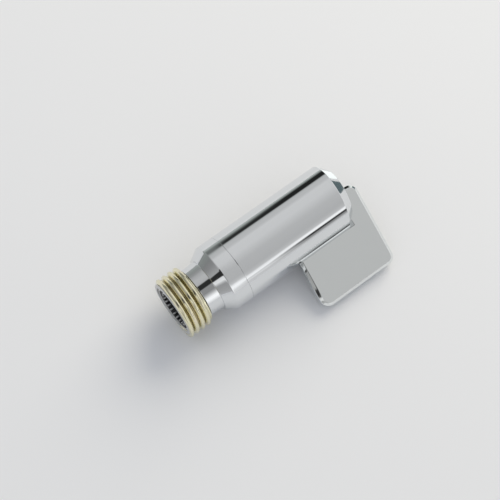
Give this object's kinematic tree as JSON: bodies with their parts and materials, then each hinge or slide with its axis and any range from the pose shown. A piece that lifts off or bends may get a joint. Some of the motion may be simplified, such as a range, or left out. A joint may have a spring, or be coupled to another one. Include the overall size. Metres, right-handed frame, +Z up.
{
  "type": "angle stop valve lever head",
  "caption": "Lever head of an angle stop valve: a chromed body with a brass threaded nipple, and a flag lever that turns a toothed socket for the valve's splined spindle.",
  "frame": {"origin": "centre of the footprint on the table, with the head lying on its sleeve and the flag's edge", "axes": "+X along the valve axis from the threaded end towards the lever end, +Z up from the table"},
  "size_m": [0.0716, 0.0385, 0.0232],
  "materials": {
    "chrome": "polished",
    "brass": "bare, bright",
    "steel": "bare",
    "rubber": "matte",
    "bearing": "matte",
    "moulding": "matte"
  },
  "bodies": {
    "head": {"collar_body": "chrome", "threaded_nipple": "brass", "gland_nut": "brass", "stop_collar": "steel", "nipple_ring": "rubber", "sleeve_ring": "rubber", "front_bush": "bearing", "rear_bush": "bearing", "thrust_washer_front": "bearing", "thrust_washer_rear": "bearing", "slip_ring": "bearing"},
    "lever": {"lever_handle": "chrome", "handle_insert": "moulding", "grub_screw": "steel", "screw_plug": "moulding", "drive_shaft": "brass", "shaft_ring_front": "rubber", "shaft_ring_rear": "rubber", "toothed_socket": "steel", "socket_pin": "steel"}
  },
  "joints": [
    {"name": "lever_turn", "type": "hinge", "parent": "head", "child": "lever", "pos_m": [-0.01277, 0.00768, 0.0116], "axis": [-1, 0, 0], "range_deg": [0, 90]}
  ]
}
